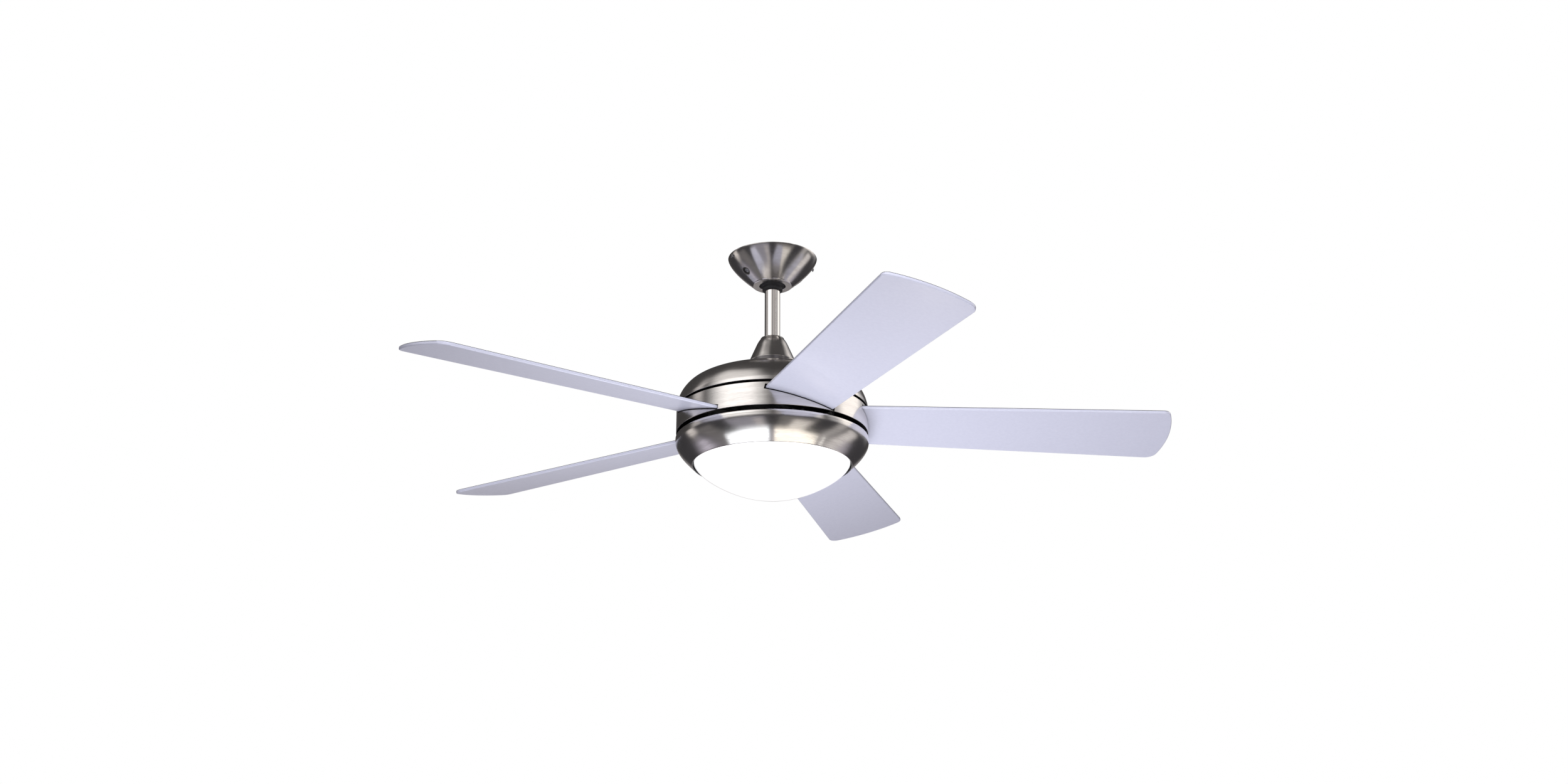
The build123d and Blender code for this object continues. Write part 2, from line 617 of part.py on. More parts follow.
def rotor_band():
    """Turning band between dome and light ring, with a slanted slot for each blade."""
    r = BAND_RADIUS
    body = lathe(
        ThreePointArc((r - 1.2, BAND_TOP), (r - 0.35, BAND_TOP - 0.35), (r, BAND_TOP - 1.2)),
        Line((r, BAND_TOP - 1.2), (r, BAND_BOTTOM + 0.6)),
        ThreePointArc((r, BAND_BOTTOM + 0.6), (r - 0.18, BAND_BOTTOM + 0.18), (r - 0.6, BAND_BOTTOM)),
        Line((r - 0.6, BAND_BOTTOM), (r - SHEET, BAND_BOTTOM)),
        Line((r - SHEET, BAND_BOTTOM), (r - SHEET, BAND_TOP - SHEET)),
        Line((r - SHEET, BAND_TOP - SHEET), (CASE_RADIUS + 0.5, BAND_TOP - SHEET)),
        Line((CASE_RADIUS + 0.5, BAND_TOP - SHEET), (CASE_RADIUS + 0.5, BAND_TOP)),
        Line((CASE_RADIUS + 0.5, BAND_TOP), (r - 1.2, BAND_TOP)),
    )
    slot_height = BLADE_THICK + 0.8 + SLOT_GAP
    slot_width = blade_chord(BAND_RADIUS) + 2 * SLOT_GAP
    slot = Pos(150.0, BLADE_OFFSET, (0.8 - SLOT_GAP) / 2) * Box(40.0, slot_width, slot_height)
    for azimuth in BLADE_AZIMUTHS:
        body -= blade_place(azimuth) * slot
    for hole in around(BLADE_COUNT, Pos(FLANGE_SCREW, 0, BAND_TOP) * Cylinder(2.0, 20.0), 36.0):
        body -= hole
    vent = Pos(125.0, 0, BAND_TOP) * Cylinder(11.0, 10.0)
    for hole in around(2 * BLADE_COUNT, vent, 18.0):
        body -= hole
    return body


def band_screws():
    screw = Pos(FLANGE_SCREW, 0, BAND_TOP) * pan_screw(1.7, 3.6, 3.2, 1.8)
    return around(BLADE_COUNT, screw, 36.0)


# ---------------------------------------------------------------- light kit
def light_kit_plate():
    """Fixed disc on the end of the motor shaft that carries the light kit."""
    body = ring(SHAFT_RADIUS, 78.0, WEB_TOP, WEB_TOP + 2.0)
    for hole in around(3, Pos(66.0, 0, WEB_TOP) * Cylinder(1.7, 10.0), 90.0):
        body -= hole
    return body


def shaft_nuts():
    """Hexagon nuts that clamp the light kit on the motor shaft, above and below."""
    nut = extrude(RegularPolygon(11.0, 6), 5.0) - Cylinder(SHAFT_RADIUS, 20.0)
    return [Pos(0, 0, WEB_TOP + 2.0) * nut, Pos(0, 0, WEB_TOP - 5.0) * nut]


LIGHT_POINTS = [(159.4, -326.5), (158.6, -334.0), (154.6, -342.4), (148.2, -351.0), (140.2, -359.4),
                (132.2, GLASS_RIM)]


def light_housing():
    """Spun bull-nosed ring under the blades, closed above by a web."""
    inner = inset(LIGHT_POINTS, SHEET)
    r0 = LIGHT_POINTS[0][0]
    body = lathe(
        ThreePointArc((r0 - 2.6, WEB_TOP), (r0 - 0.9, WEB_TOP - 0.9), (r0 - 0.15, WEB_TOP - 2.6)),
        Line((r0 - 0.15, WEB_TOP - 2.6), LIGHT_POINTS[0]),
        Spline(*LIGHT_POINTS),
        ThreePointArc(LIGHT_POINTS[-1], (131.0, GLASS_RIM - 0.6), (GLASS_OPENING, GLASS_RIM + 0.4)),
        Line((GLASS_OPENING, GLASS_RIM + 0.4), inner[-1]),
        Spline(*inner[::-1]),
        Line(inner[0], (inner[0][0], WEB_TOP - SHEET)),
        Line((inner[0][0], WEB_TOP - SHEET), (16.0, WEB_TOP - SHEET)),
        Line((16.0, WEB_TOP - SHEET), (16.0, WEB_TOP)),
        Line((16.0, WEB_TOP), (r0 - 2.6, WEB_TOP)),
    )
    for hole in around(3, Pos(66.0, 0, WEB_TOP) * Cylinder(2.0, 10.0), 90.0):
        body -= hole
    return body


def lamp_pan():
    """White reflector pan with the three tabs that the glass hooks onto."""
    body = ring(22.0, PAN_RADIUS, PAN_TOP - SHEET, PAN_TOP)
    body += ring(PAN_RADIUS - SHEET, PAN_RADIUS, TAB_BOTTOM, PAN_TOP)
    tab = ring(PAN_RADIUS - 0.5, TAB_OUTER, TAB_BOTTOM, TAB_BOTTOM + SHEET) & sector(TAB_ANGLE, TAB_BOTTOM)
    for piece in around(3, tab, 90.0):
        body += piece
    for hole in around(3, Pos(66.0, 0, PAN_TOP) * Cylinder(2.0, 10.0), 90.0):
        body -= hole
    return body


def sector(angle, level):
    """Wedge of the given angle about +X, for cutting rings into arcs."""
    big = 400.0
    upper = turn(-angle / 2) * Pos(big / 2, big / 2, level) * Box(big, big, 60.0)
    lower = turn(angle / 2) * Pos(big / 2, -big / 2, level) * Box(big, big, 60.0)
    return upper & lower


def light_kit_screws():
    screw = Rot(180, 0, 0) * pan_screw(1.7, 2 * SHEET + 1.6, 3.2, 1.8)
    return around(3, Pos(66.0, 0, PAN_TOP - SHEET) * screw, 90.0)


LAMP_Y = -36.0
LAMP_X = -62.0
LAMP_Z = -357.0


def lamp_axis(side):
    """Local +Z runs along the lamp, from the holder towards the bulb's tip."""
    return turn(0 if side > 0 else 180) * Pos(LAMP_X, LAMP_Y, LAMP_Z) * Rot(0, 90, 0)


def lamp_holder():
    body = Pos(0, 0, 1.0) * Cylinder(17.0, 46.0)
    body = chamfer(body.edges().group_by(Axis.Z)[0], 3.0)
    body -= Pos(0, 0, 14.0) * Cylinder(13.4, 28.0)
    skirt = Pos(0, 0, 12.0) * (Cylinder(18.2, 3.0) - Cylinder(16.0, 4.0))
    return body + skirt


def bulb_cap():
    """Screw cap with its contact button."""
    body = Pos(0, 0, 13.0) * Cylinder(12.4, 22.0)
    for i in range(4):
        body += Pos(0, 0, 6.0 + 4.2 * i) * Torus(12.4, 0.9)
    return body + Pos(0, 0, 1.0) * Cylinder(5.0, 2.0)


def bulb():
    return revolve(
        Plane.XZ
        * make_face(
            [
                Line((0, 24.0), (13.2, 24.0)),
                Spline((13.2, 24.0), (16.2, 42.0), (25.5, 59.0), (29.0, 75.0), tangents=[(0, 1), (0, 1)]),
                ThreePointArc((29.0, 75.0), (29.0 * sqrt(0.5), 75.0 + 29.0 * sqrt(0.5)), (0, 104.0)),
                Line((0, 104.0), (0, 24.0)),
            ]
        ),
        Axis.Z,
    )


def lamp_bracket():
    foot = Pos(LAMP_X - 14.0, LAMP_Y, PAN_TOP - SHEET - 0.75) * Box(22.0, 20.0, 1.5)
    stem_top, stem_low = PAN_TOP - SHEET, LAMP_Z + 12.0
    middle = (stem_top + stem_low) / 2 - 6.0
    stem = Pos(LAMP_X - 22.75, LAMP_Y, middle) * Box(1.5, 20.0, stem_top - stem_low + 12.0)
    return foot + stem


def glass_shade():
    """Opal glass bowl: an upright rim and a shallow round bottom."""
    outer_r, inner_r = GLASS_RADIUS, GLASS_RADIUS - GLASS_WALL
    low = GLASS_RIM - GLASS_DEPTH
    return lathe(
        Line((outer_r, GLASS_TOP), (outer_r, GLASS_RIM + 1.0)),
        Spline((outer_r, GLASS_RIM + 1.0), (117.0, GLASS_RIM - 12.5), (85.0, GLASS_RIM - 33.0),
               (45.0, GLASS_RIM - 48.7), (0, low), tangents=[(-0.35, -1.0), (-1.0, 0)]),
        Line((0, low), (0, low + GLASS_WALL)),
        Spline((0, low + GLASS_WALL), (44.0, GLASS_RIM - 45.9), (83.2, GLASS_RIM - 30.5),
               (114.7, GLASS_RIM - 10.5), (inner_r, GLASS_RIM + 1.6), tangents=[(1.0, 0), (0.35, 1.0)]),
        Line((inner_r, GLASS_RIM + 1.6), (inner_r, GLASS_TOP)),
        Line((inner_r, GLASS_TOP), (outer_r, GLASS_TOP)),
    )


def glass_collar():
    """Metal ring in the glass's rim; its three lugs rest on the pan's tabs."""
    outer = GLASS_RADIUS - GLASS_WALL
    top = TAB_BOTTOM + SHEET + CLEAR + SHEET
    body = ring(outer - SHEET, outer, GLASS_RIM + 3.0, top)
    lug = ring(TAB_OUTER - 5.0, outer - 0.5, top - SHEET, top) & sector(TAB_ANGLE - 2.0, TAB_BOTTOM)
    for piece in around(3, lug, 90.0):
        body += piece
    return body


# ---------------------------------------------------------------- electrics
def run_capacitor():
    body = Pos(56.0, 0, -222.5) * Box(16.0, 34.0, 19.0)
    body = fillet(body.edges().filter_by(Axis.Z), 1.5)
    ear = Pos(56.0, 0, -212.6) * Box(8.0, 12.0, 1.2)
    return turn(210.0) * (body + ear)


def rod_leads():
    """Insulated wires down the inside of the rod to the motor and the lamps."""
    wire = Pos(5.5, 0, (ROD_TOP + ROD_BOTTOM) / 2) * Cylinder(1.2, ROD_TOP - ROD_BOTTOM - 4.0)
    return [turn(angle) * wire for angle in (-20.0, 20.0, 180.0)]


# ---------------------------------------------------------------- all nodes
save("hanger_bracket", hanger_bracket())
save("canopy", canopy())
save("canopy_screws", canopy_screws())
save("canopy_rim_screws", rim_screws())
save("terminal_block", terminal_block())
save("terminal_screws", terminal_screws())
save("earth_screw", earth_screw())
save("ball_liner", ball_liner())
save("hanger_ball", hanger_ball())
save("ball_cross_pin", ball_cross_pin())
save("downrod", downrod())
save("coupling_cover", coupling_cover())
save("motor_yoke", motor_yoke())
save("yoke_pin", yoke_pin())
save("yoke_cotter", yoke_cotter())
save("set_screws", set_screws())
save("rod_leads", rod_leads())
save("upper_housing", upper_housing())
save("housing_screws", housing_screws())
save("run_capacitor", run_capacitor())
save("reverse_switch", reverse_switch())
save("reverse_knob", reverse_knob())
save("motor_shaft", motor_shaft())
save("stator_core", stator_core())
save("stator_windings", stator_windings())
save("rotor_core", rotor_core())
save("motor_case_upper", motor_case("upper"))
save("motor_case_lower", motor_case("lower"))
save("case_screws", case_screws())
for level in BEARING_LEVELS:
    save(f"{level}_bearing_inner", bearing_race(level, False))
    save(f"{level}_bearing_outer", bearing_race(level, True))
    save(f"{level}_bearing_balls", bearing_cage(level))
one_blade = blade()
one_arm = blade_arm()
for number, azimuth in enumerate(BLADE_AZIMUTHS, 1):
    save(f"blade_{number}", blade_place(azimuth) * one_blade)
    save(f"blade_arm_{number}", turn(azimuth) * one_arm)
save("arm_screws", arm_screws())
save("blade_screws", blade_screws())
save("rotor_band", rotor_band())
save("band_screws", band_screws())
save("light_kit_plate", light_kit_plate())
save("shaft_nuts", shaft_nuts())
save("light_housing", light_housing())
save("lamp_pan", lamp_pan())
save("light_kit_screws", light_kit_screws())
save("lamp_holders", [lamp_axis(s) * lamp_holder() for s in (1, -1)])
save("lamp_brackets", [turn(a) * lamp_bracket() for a in (0, 180)])
save("bulb_caps", [lamp_axis(s) * bulb_cap() for s in (1, -1)])
save("bulbs", [lamp_axis(s) * bulb() for s in (1, -1)])
save("glass_shade", glass_shade())
save("glass_collar", glass_collar())
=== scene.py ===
import json
from functools import lru_cache
from math import asin, cos, pi, radians, sin, sqrt

import bmesh
import bpy
from mathutils import Matrix, Vector


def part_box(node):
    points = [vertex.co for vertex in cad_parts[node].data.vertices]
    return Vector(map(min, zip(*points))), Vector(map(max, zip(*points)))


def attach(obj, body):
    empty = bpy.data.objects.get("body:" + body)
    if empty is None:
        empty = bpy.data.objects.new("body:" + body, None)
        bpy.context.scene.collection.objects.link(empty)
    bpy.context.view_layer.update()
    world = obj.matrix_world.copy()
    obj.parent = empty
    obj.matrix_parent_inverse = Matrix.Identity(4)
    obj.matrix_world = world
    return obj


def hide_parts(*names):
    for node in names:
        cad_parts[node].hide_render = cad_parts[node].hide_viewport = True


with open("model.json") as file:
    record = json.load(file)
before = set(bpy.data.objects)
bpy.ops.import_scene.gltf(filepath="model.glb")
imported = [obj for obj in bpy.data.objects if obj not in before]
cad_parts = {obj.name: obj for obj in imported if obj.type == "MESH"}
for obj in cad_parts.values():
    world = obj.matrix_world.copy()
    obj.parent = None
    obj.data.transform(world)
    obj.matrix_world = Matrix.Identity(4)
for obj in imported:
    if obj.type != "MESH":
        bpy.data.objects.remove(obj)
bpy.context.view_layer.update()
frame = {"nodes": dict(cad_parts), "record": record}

MM = 0.001

# ---------------------------------------------------------------- sizes, in metres
# Heights and outer radii come from the frame; the rest repeats the part's driving sizes.


@lru_cache
def corners(node):
    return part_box(node)


def low(node):
    return corners(node)[0].z


def high(node):
    return corners(node)[1].z


def radius(node):
    return max(corners(node)[1].xy)


SHEET = 1.2 * MM              # spun sheet metal
AROUND = 288                  # facets round a turned piece

CANOPY_FOOT = 35.0 * MM       # radius where the bowl turns into its lip
CANOPY_HOLE = 22.0 * MM
CANOPY_LIP = 2.2 * MM         # height of the rolled lip under the bowl
CANOPY_BULGE = 1.4            # how late the bowl turns in, 1 for a cone
CANOPY_SCREW_ANGLES = (210.9, 30.9)
CANOPY_SCREW_Z = -32.0 * MM
RIM_SCREW_ANGLES = (203.3, 23.3)
RIM_SCREW_Z = -6.0 * MM
CUP_RADIUS = 6.6 * MM

COVER_FOOT = 36.6 * MM
COVER_STEP = -186.7 * MM
SWITCH_RADIUS = 62.0 * MM
GLASS_OPENING = 130.3 * MM
GLASS_WALL = 3.0 * MM

BLADE_COUNT = 5
FIRST_BLADE = radians(2.14)
BLADE_PLANE = -295.6 * MM
BLADE_PITCH = radians(12.7)
BLADE_DROOP = radians(1.12)
BLADE_THICK = 5.5 * MM
BLADE_ROOT = 100.0 * MM
BLADE_OFFSET = -7.5 * MM      # chord centre, along the chord
BLADE_EDGE = 1.6 * MM
TIP_BOW = 9.5 * MM
TIP_SHORT = 1 * MM            # the tip's middle stays this much inside the sweep
TIP_CORNERS = (20 * MM, 13 * MM)
SWEEP = 660.0 * MM
SLOT_GAP = 2.2 * MM

FLOOR_DROP = 2.0              # from the glass down to the floor
FLOOR_RADIUS = 2.4
CARD_DROP = 0.22              # from the light ring down to the glowing cards
EYE_BACK = 3.029              # camera in front of the fan's axis
EYE_DROP = 1.0109             # camera under the plane of the blades
EYE_TILT = radians(19.417)
EYE_TURN = radians(-0.37)


# ---------------------------------------------------------------- outlines
def curve_through(points, steps=12):
    """Smooth (centripetal Catmull-Rom) curve through (radius, height) points."""
    run = [Vector(p) for p in points]
    run = [2 * run[0] - run[1], *run, 2 * run[-1] - run[-2]]
    out = []
    for p0, p1, p2, p3 in zip(run, run[1:], run[2:], run[3:]):
        t1 = sqrt((p1 - p0).length)
        t2 = t1 + sqrt((p2 - p1).length)
        t3 = t2 + sqrt((p3 - p2).length)
        for k in range(steps):
            t = t1 + (t2 - t1) * k / steps
            a1 = p0.lerp(p1, t / t1)
            a2 = p1.lerp(p2, (t - t1) / (t2 - t1))
            a3 = p2.lerp(p3, (t - t2) / (t3 - t2))
            b1 = a1.lerp(a2, t / t2)
            b2 = a2.lerp(a3, (t - t1) / (t3 - t1))
            out.append(b1.lerp(b2, (t - t1) / (t2 - t1)))
    return out + [run[-2]]


def arc(centre, size, start, end, steps=6):
    """Arc in the (radius, height) plane, angles in degrees."""
    turns = [radians(start + (end - start) * i / steps) for i in range(steps + 1)]
    return [Vector((centre[0] + size * cos(a), centre[1] + size * sin(a))) for a in turns]


def moved_in(points, wall):
    """The same line moved sideways by the wall thickness, towards the inside."""
    out = []
    for i, p in enumerate(points):
        along = (points[min(i + 1, len(points) - 1)] - points[max(i - 1, 0)]).normalized()
        out.append(Vector((p.x + wall * along.y, p.y - wall * along.x)))
    return out


def rounded_end(a, b, out_of):
    """Half-round edge of a sheet from its outside point a to its inside point b."""
    middle, side = (a + b) / 2, (a - b) / 2
    away = out_of.normalized() * side.length
    return [middle + side * cos(pi * k / 6) + away * sin(pi * k / 6) for k in range(1, 6)]


# ---------------------------------------------------------------- meshes
def applied(piece):
    """Fix a piece's modifiers into its mesh."""
    bpy.context.view_layer.update()
    graph = bpy.context.evaluated_depsgraph_get()
    mesh = bpy.data.meshes.new_from_object(piece.evaluated_get(graph))
    piece.modifiers.clear()
    piece.data = mesh
    mesh.name = piece.name


def smooth(piece, sharp=35.0):
    """Smooth shading in which the larger of two meeting faces sets the normal."""
    piece.data.shade_smooth()
    piece.data.set_sharp_from_angle(angle=radians(sharp))
    weighted = piece.modifiers.new("weighted", "WEIGHTED_NORMAL")
    weighted.keep_sharp = True
    applied(piece)


def finished(name, bm, sharp=35.0):
    """Turn a bmesh into a smooth-shaded object whose flat faces stay flat."""
    bmesh.ops.remove_doubles(bm, verts=bm.verts, dist=1e-6)
    bmesh.ops.recalc_face_normals(bm, faces=bm.faces)
    mesh = bpy.data.meshes.new(name)
    bm.to_mesh(mesh)
    bm.free()
    piece = bpy.data.objects.new(name, mesh)
    bpy.context.scene.collection.objects.link(piece)
    smooth(piece, sharp)
    return piece


def turned(name, outline, sharp=35.0, around=AROUND):
    """Turn a closed outline about the Z axis; a point on the axis becomes a pole."""
    bm = bmesh.new()
    rings = []
    for p in outline:
        turns = [2 * pi * k / around for k in range(around)] if p.x > 1e-6 else [0.0]
        rings.append([bm.verts.new((p.x * cos(a), p.x * sin(a), p.y)) for a in turns])
    for one, two in zip(rings, rings[1:] + rings[:1]):
        for k in range(around):
            n = (k + 1) % around
            loop = [one[k % len(one)], one[n % len(one)], two[n % len(two)], two[k % len(two)]]
            loop = list(dict.fromkeys(loop))
            if len(loop) > 2:
                bm.faces.new(loop)
    return finished(name, bm, sharp)


def cut_out(piece, cutters):
    """Cut solids out of a piece, then let its large faces set the shading."""
    for cutter in cutters:
        cut = piece.modifiers.new("cut", "BOOLEAN")
        cut.operation, cut.solver, cut.object = "DIFFERENCE", "EXACT", cutter
    applied(piece)
    for cutter in cutters:
        bpy.data.objects.remove(cutter)
    smooth(piece)


def joined(piece, others):
    """Add other pieces' meshes to this one."""
    bm = bmesh.new()
    for part in (piece, *others):
        bm.from_mesh(part.data)
    for part in others:
        bpy.data.objects.remove(part)
    bm.to_mesh(piece.data)
    bm.free()
    smooth(piece)


def block(name, size, place):
    """Rectangular cutter."""
    bm = bmesh.new()
    bmesh.ops.create_cube(bm, size=1.0, matrix=place @ Matrix.Diagonal((*size, 1.0)))
    return finished(name, bm)


def drill(name, size, depth, place):
    """Round cutter along the place's Z axis, centred on it."""
    bm = bmesh.new()
    bmesh.ops.create_cone(bm, cap_ends=True, segments=64, radius1=size, radius2=size,
                          depth=depth, matrix=place)
    return finished(name, bm)


def moved(piece, place):
    piece.data.transform(place)
    return piece


# ---------------------------------------------------------------- canopy
def canopy_radius(depth):
    share = max(depth, 0.0) / (-low("canopy") - CANOPY_LIP)
    return radius("canopy") - (radius("canopy") - CANOPY_FOOT) * share ** CANOPY_BULGE


def canopy_point(angle, height):
    """Point on the bowl's outside, with Z along the outward normal there."""
    a, step = radians(angle), 0.5 * MM
    slope = (canopy_radius(-height + step) - canopy_radius(-height - step)) / (2 * step)
    out = Vector((cos(a), sin(a), slope)).normalized()
    r = canopy_radius(-height)
    turn = out.to_track_quat("Z", "Y").to_matrix().to_4x4()
    return Matrix.Translation((r * cos(a), r * sin(a), height)) @ turn


def make_canopy():
    foot_z = low("canopy") + CANOPY_LIP
    bowl = [Vector((canopy_radius(-foot_z * k / 40), foot_z * k / 40)) for k in range(41)]
    inner = moved_in(bowl, SHEET)
    lip = arc((CANOPY_FOOT - 3.4 * MM, foot_z + 0.9 * MM), 3.1 * MM, -16, -90, 8)
    hem = arc((CANOPY_HOLE + 0.8 * MM, foot_z - 1.4 * MM), 0.8 * MM, -90, -270, 8)
    outline = bowl + lip[1:] + hem + [Vector((CANOPY_FOOT - 2.5 * MM, hem[-1].y))]
    outline += inner[:0:-1] + [inner[0]] + rounded_end(inner[0], bowl[0], Vector((0, 1)))
    piece = turned("canopy_bowl", outline)
    cup_size, hole_size, depth = CUP_RADIUS + 0.5 * MM, 2.2 * MM, 8 * MM
    cutters = [drill(f"cut_cup_{angle:.0f}", cup_size, depth, canopy_point(angle, CANOPY_SCREW_Z))
               for angle in CANOPY_SCREW_ANGLES]
    cutters += [drill(f"cut_rim_{angle:.0f}", hole_size, depth, canopy_point(angle, RIM_SCREW_Z))
                for angle in RIM_SCREW_ANGLES]
    cut_out(piece, cutters)
    return piece


def make_cups():
    """Recesses pressed into the bowl for its two fixing screws, dark as painted shade."""
    outline = [Vector((CUP_RADIUS + 1.2 * MM, -1.6 * MM))]
    outline += arc((CUP_RADIUS + 0.9 * MM, -0.8 * MM), 0.9 * MM, 60, 180, 8)
    outline += arc((CUP_RADIUS - 0.8 * MM, -3.6 * MM), 0.8 * MM, 0, -90, 5)
    outline += [Vector((2.2 * MM, -4.4 * MM)), Vector((2.2 * MM, -5.6 * MM))]
    outline += [Vector((CUP_RADIUS + 1.2 * MM, -5.6 * MM))]
    cups = [moved(turned(f"canopy_cup_{n}", outline, around=64), canopy_point(angle, CANOPY_SCREW_Z))
            for n, angle in enumerate(CANOPY_SCREW_ANGLES)]
    joined(cups[0], cups[1:])
    return cups[0]


# ---------------------------------------------------------------- rod and cover
def make_rod():
    r, wall, ease = radius("downrod"), 2.2 * MM, 0.5 * MM
    outline = []
    for end, turn in ((high("downrod") - ease, 1), (low("downrod") + ease, -1)):
        outside = arc((r - ease, end), ease, 0, 90 * turn, 4)
        inside = arc((r - wall + ease, end), ease, 90 * turn, 180 * turn, 4)
        outline += outside + inside if turn > 0 else (outside + inside)[::-1]
    return turned("downrod_tube", outline, around=96)


def make_cover():
    top, foot = high("coupling_cover"), low("coupling_cover")
    bore = radius("downrod") + 0.4 * MM
    cone = curve_through([
        (19.6 * MM, top - 1.6 * MM), (24.4 * MM, top - 9.1 * MM), (29.8 * MM, top - 21.1 * MM),
        (35.0 * MM, top - 33.1 * MM), (39.0 * MM, COVER_STEP),
    ])
    skirt = radius("coupling_cover")
    outline = [Vector((bore, top))] + arc((18.1 * MM, top - 1.5 * MM), 1.5 * MM, 90, 15, 6) + cone[1:]
    outline += arc((skirt - 0.8 * MM, COVER_STEP - 0.8 * MM), 0.8 * MM, 90, -10, 6)
    outline += [Vector((COVER_FOOT, foot + 0.4 * MM)), Vector((COVER_FOOT - 0.4 * MM, foot))]
    outline += [Vector((COVER_FOOT - SHEET, foot)), Vector((skirt - SHEET, COVER_STEP - SHEET))]
    outline += moved_in(cone, SHEET)[::-1] + [Vector((bore, top - SHEET))]
    return turned("coupling_cover_spun", outline)


# ---------------------------------------------------------------- dome
def make_dome():
    top, foot = high("upper_housing"), low("upper_housing")
    skin = curve_through([
        (42.0 * MM, top), (55.0 * MM, top - 2.0 * MM), (85.0 * MM, top - 7.2 * MM),
        (117.0 * MM, top - 15.4 * MM), (139.0 * MM, top - 26.6 * MM), (152.0 * MM, top - 42.2 * MM),
        (158.0 * MM, top - 58.9 * MM), (radius("upper_housing"), foot + 0.5 * MM),
    ], 16)
    inner = moved_in(skin, SHEET)
    bore = 18.5 * MM
    outline = [Vector((bore, top - SHEET)), Vector((bore, top)), *skin]
    outline += rounded_end(skin[-1], inner[-1], Vector((0, -1)))
    outline += inner[::-1]
    piece = turned("upper_housing_dome", outline)
    slot = Matrix.Translation((0, SWITCH_RADIUS, top - 6 * MM))
    cut_out(piece, [block("cut_switch", (15 * MM, 5 * MM, 20 * MM), slot)])
    return piece


# ---------------------------------------------------------------- turning band
def blade_chord(r):
    return 114.5 * MM + 32.0 * MM * (r - 140.0 * MM) / (SWEEP - 140.0 * MM)


def blade_place(n):
    """Frame of one blade: X out along it, Y towards the edge further round."""
    place = Matrix.Rotation(FIRST_BLADE + 2 * pi / BLADE_COUNT * n, 4, "Z")
    place @= Matrix.Translation((0, 0, BLADE_PLANE))
    return place @ Matrix.Rotation(BLADE_DROOP, 4, "Y") @ Matrix.Rotation(-BLADE_PITCH, 4, "X")


def make_band():
    top, foot, r = high("rotor_band"), low("rotor_band"), radius("rotor_band")
    shoulder = arc((r - 1.2 * MM, top - 1.2 * MM), 1.2 * MM, 90, 0, 6)
    rows = 12
    wall = [Vector((r, top - 1.2 * MM + (foot + 0.6 * MM - top + 1.2 * MM) * k / rows))
            for k in range(1, rows)]
    lower = arc((r - 0.6 * MM, foot + 0.6 * MM), 0.6 * MM, 0, -90, 5)
    bore = 84.5 * MM
    outline = [Vector((bore, top - SHEET)), Vector((bore, top)), Vector((bore + 30 * MM, top))]
    outline += shoulder + wall + lower + [Vector((r - SHEET, foot))]
    outline += [Vector((r - SHEET, top - SHEET)), Vector((bore + 30 * MM, top - SHEET))]
    piece = turned("rotor_band_spun", outline)
    above = 0.8 * MM
    size = (40 * MM, blade_chord(r) + 2 * SLOT_GAP, BLADE_THICK + above + SLOT_GAP)
    middle = Matrix.Translation((150 * MM, BLADE_OFFSET, (above - SLOT_GAP) / 2))
    cutters = [block(f"cut_slot_{n}", size, blade_place(n) @ middle) for n in range(BLADE_COUNT)]
    for n in range(2 * BLADE_COUNT):
        a = radians(18) + pi / BLADE_COUNT * n
        vent = Matrix.Translation((125 * MM * cos(a), 125 * MM * sin(a), top))
        cutters.append(drill(f"cut_vent_{n}", 11 * MM, 8 * MM, vent))
    cut_out(piece, cutters)
    return piece


# ---------------------------------------------------------------- light ring and glass
def make_light_ring():
    top, rim, r = high("light_housing"), low("light_housing") + 0.2 * MM, radius("light_housing")
    skin = curve_through([
        (r, top - 4.7 * MM), (r - 0.8 * MM, top - 12.2 * MM), (r - 4.8 * MM, top - 20.6 * MM),
        (r - 11.2 * MM, top - 29.2 * MM), (r - 19.2 * MM, top - 37.6 * MM), (132.2 * MM, rim),
    ], 14)
    inner = moved_in(skin, SHEET)
    shoulder = arc((r - 2.7 * MM, top - 2.6 * MM), 2.6 * MM, 90, 4, 8)
    roll = arc(((132.2 * MM + GLASS_OPENING) / 2, rim + 0.2 * MM), 0.98 * MM, -20, -160, 8)
    outline = [Vector((16 * MM, top - SHEET)), Vector((16 * MM, top)), *shoulder, *skin, *roll]
    outline += inner[::-1] + [Vector((inner[0].x, top - SHEET))]
    return turned("light_housing_ring", outline)


def make_glass():
    r, top, foot = radius("glass_shade"), high("glass_shade"), low("glass_shade")
    rim = top - 8.6 * MM
    across = (45 * MM, rim - 49.7 * MM)
    bowl = curve_through([
        (r, top - 3 * MM), (r, rim), (117 * MM, rim - 13.5 * MM), (85 * MM, rim - 34.0 * MM),
        across, (0, foot), (-across[0], across[1]),
    ], 14)
    bowl = [p for p in bowl if p.x > -1e-6]
    bowl[-1].x = 0.0
    inside = moved_in(bowl, GLASS_WALL)
    inside[-1].x = 0.0
    edge = [Vector((r, top - 0.8 * MM)), Vector((r - 0.3 * MM, top - 0.2 * MM)), Vector((r - 1 * MM, top))]
    back = [Vector((r - GLASS_WALL + 0.6 * MM, top)), Vector((r - GLASS_WALL, top - 0.6 * MM))]
    return turned("glass_bowl", bowl + inside[::-1] + back + edge[::-1])


# ---------------------------------------------------------------- blades
def tip_corner(near, far, end, bow, size):
    """Corner of the tip on the +Y side: points from the straight side round to the bowed end."""
    step = 130 * MM
    along = Vector((end - step, far - near)).normalized()
    inward = Vector((along.y, -along.x))
    hub = Vector((SWEEP - TIP_SHORT - bow, 0))
    start = Vector((step, near)) + inward * size - hub
    run = -start.dot(along) + sqrt(start.dot(along) ** 2 - start.length_squared + (bow - size) ** 2)
    centre = hub + start + along * run
    first = Vector((1, 0)).angle_signed(-inward)
    last = Vector((1, 0)).angle_signed(centre - hub)
    turns = [-(first + (last - first) * k / 10) for k in range(11)]
    return [centre + Vector((cos(a), sin(a))) * size for a in turns]


